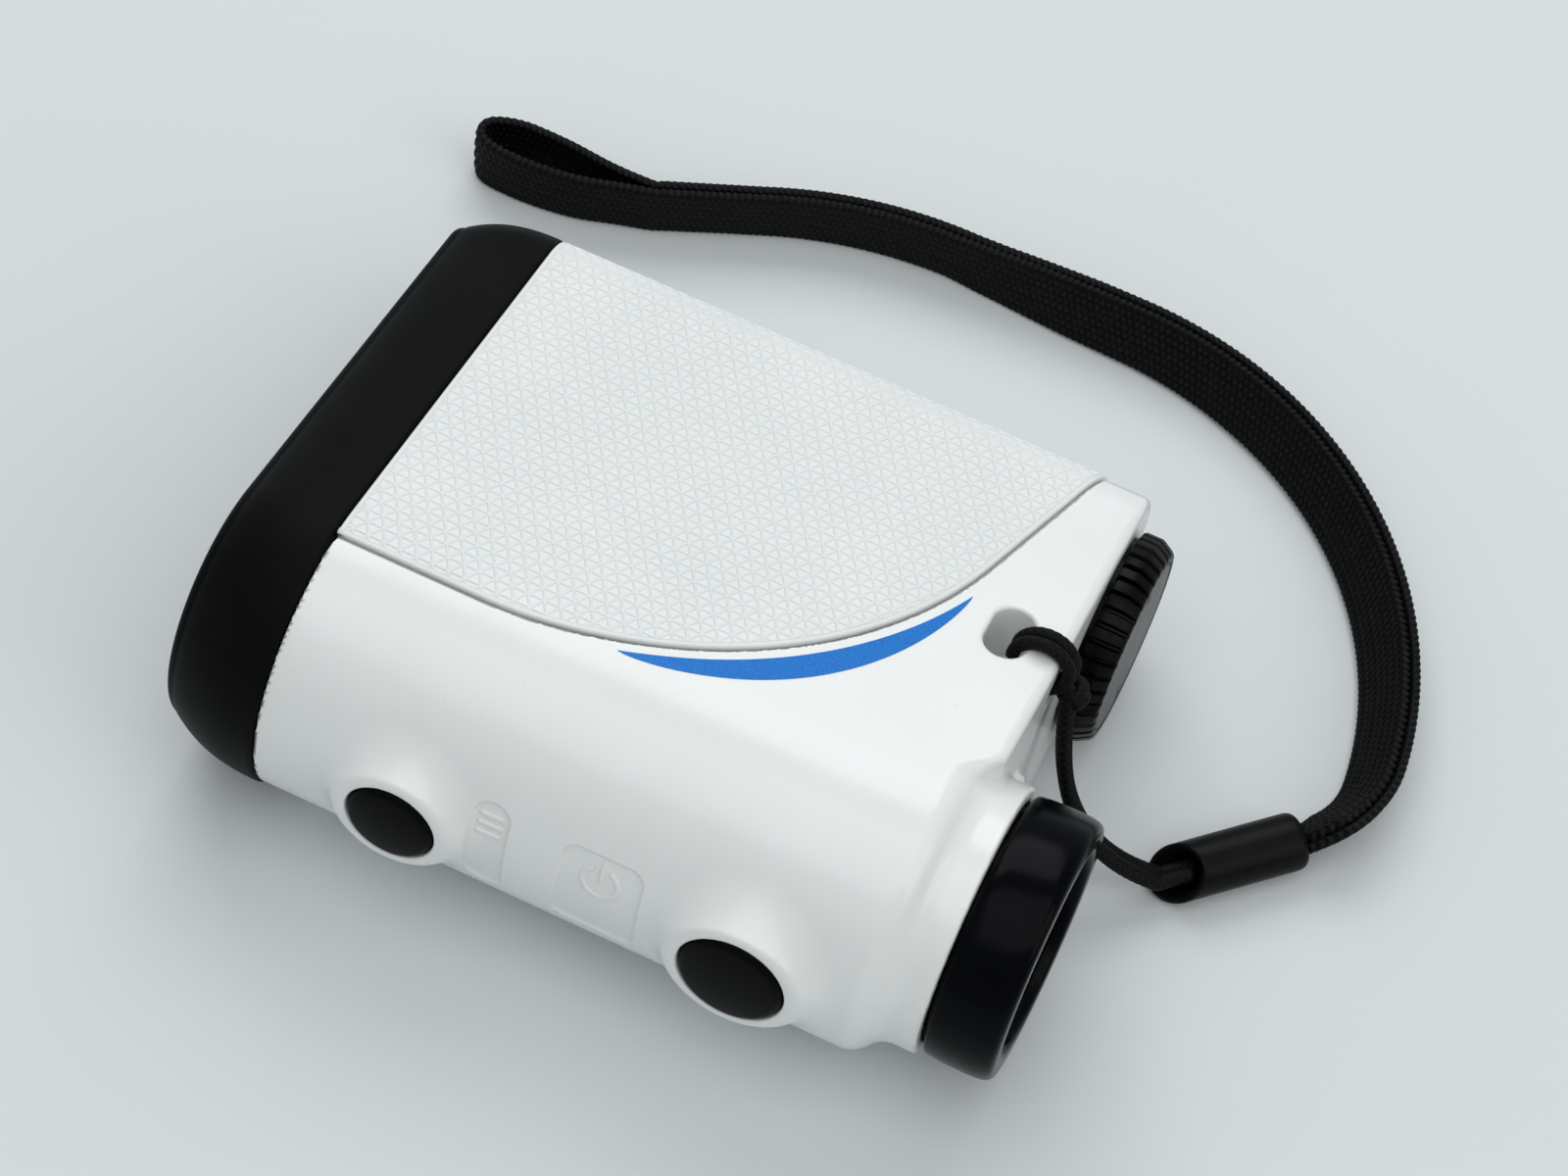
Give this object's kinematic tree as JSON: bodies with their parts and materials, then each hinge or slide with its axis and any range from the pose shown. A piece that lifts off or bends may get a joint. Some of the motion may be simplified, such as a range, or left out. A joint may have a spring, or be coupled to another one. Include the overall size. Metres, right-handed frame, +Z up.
{
  "type": "laser rangefinder",
  "caption": "Hand-held monocular laser rangefinder with ribbed battery cap, turning eyecup, push buttons, rubber front bumper and wrist strap.",
  "frame": {"origin": "middle of the flat side panel that the rangefinder rests on, on the grip cover's outer face", "axes": "+X forward along the optical axis, +Y towards the button side, +Z up"},
  "size_m": [0.121, 0.1054, 0.0344],
  "materials": {
    "shell": "glossy injection-moulded housing, white",
    "cover": "satin grip cover with a fine raised lattice, white",
    "bumper": "soft matt rubber, black",
    "rubber": "smooth moulded rubber, black",
    "black_part": "satin black plastic",
    "bezel": "polished black plastic",
    "optics_black": "black anodised",
    "bare_aluminium": "bare satin",
    "screw_steel": "zinc plated",
    "lens_glass": "coated optical glass",
    "board": "green solder mask",
    "chips": "epoxy packages",
    "flex": "polyimide film",
    "contact": "gold-plated",
    "cell": "printed sleeve over a steel can",
    "cord": "braided nylon, black",
    "band": "woven nylon tape, black"
  },
  "bodies": {
    "housing": {"main_shell": "shell", "grip_cover": "cover", "front_bumper": "bumper", "front_frame": "black_part", "front_gasket": "rubber", "front_plate": "bezel", "front_screws": "screw_steel", "chassis": "bare_aluminium", "chassis_screws": "screw_steel", "objective_cell": "optics_black", "objective_front_lens": "lens_glass", "objective_rear_lens": "lens_glass", "objective_retainer": "optics_black", "beam_splitter": "lens_glass", "helper_prism": "lens_glass", "roof_prism": "lens_glass", "prism_holder": "black_part", "field_stop": "optics_black", "reticle_display": "lens_glass", "detector": "contact", "detector_board": "board", "laser_tube": "optics_black", "laser_lens": "lens_glass", "laser_retainer": "optics_black", "laser_diode": "contact", "laser_board": "board", "main_board": "board", "board_parts": "chips", "flex_cable": "flex", "button_board": "board", "tact_switches": "screw_steel", "battery_tube": "black_part", "tube_contact": "contact", "strap_hitch": "cord"},
    "power_press": {"power_button": "rubber", "power_seal": "rubber"},
    "mode_press": {"mode_button": "rubber", "mode_seal": "rubber"},
    "dioptre_ring": {"eyecup": "rubber", "dioptre_sleeve": "black_part", "sleeve_ring": "bare_aluminium", "sleeve_seal": "rubber"},
    "eyepiece": {"eyepiece_cell": "optics_black", "eye_lens": "lens_glass", "field_lens": "lens_glass", "eyepiece_retainers": "optics_black"},
    "battery_cell": {"battery": "cell"},
    "cap_spring": {"cap_contact": "contact"},
    "cap": {"battery_cap": "black_part", "cap_seal": "rubber"},
    "cord_and_ferrule": {"strap_cord": "cord", "strap_ferrule": "black_part"},
    "band": {"wrist_band": "band"}
  },
  "joints": [
    {"name": "power_press", "type": "slide", "parent": "housing", "child": "power_press", "axis": [0, -0.9942, -0.108], "range_m": [0, 0.0005]},
    {"name": "mode_press", "type": "slide", "parent": "housing", "child": "mode_press", "axis": [0, -0.9942, -0.108], "range_m": [0, 0.0005]},
    {"name": "dioptre_turn", "type": "hinge", "parent": "housing", "child": "dioptre_ring", "pos_m": [-0.0412, 0.0235, 0.0172], "axis": [1, 0, 0], "range_deg": [-60, 60]},
    {"name": "dioptre_focus", "type": "slide", "parent": "housing", "child": "eyepiece", "axis": [1, 0, 0], "range_m": [-0.0013, 0.0013]},
    {"name": "battery_out", "type": "slide", "parent": "housing", "child": "battery_cell", "axis": [-1, 0, 0], "range_m": [0, 0.013]},
    {"name": "battery_cap_lead", "type": "slide", "parent": "battery_cell", "child": "cap_spring", "axis": [-1, 0, 0], "range_m": [0, 0.0038]},
    {"name": "battery_cap_turn", "type": "hinge", "parent": "cap_spring", "child": "cap", "pos_m": [-0.0372, -0.01666, 0.01284], "axis": [-1, 0, 0], "range_deg": [0, 900]},
    {"name": "strap_swing", "type": "hinge", "parent": "housing", "child": "cord_and_ferrule", "pos_m": [-0.037, -0.0012, 0.0242], "axis": [0, 0, 1], "range_deg": [-10, 4]},
    {"name": "band_swing", "type": "hinge", "parent": "cord_and_ferrule", "child": "band", "pos_m": [-0.0634, -0.0105, 0.004], "axis": [0, 0, 1], "range_deg": [-35, 5]}
  ],
  "couplings": [
    {"joint": "dioptre_focus", "follows": "dioptre_turn", "m_per_rad": 0.0012},
    {"joint": "battery_cap_lead", "follows": "battery_cap_turn", "m_per_rad": 0.00023873}
  ]
}
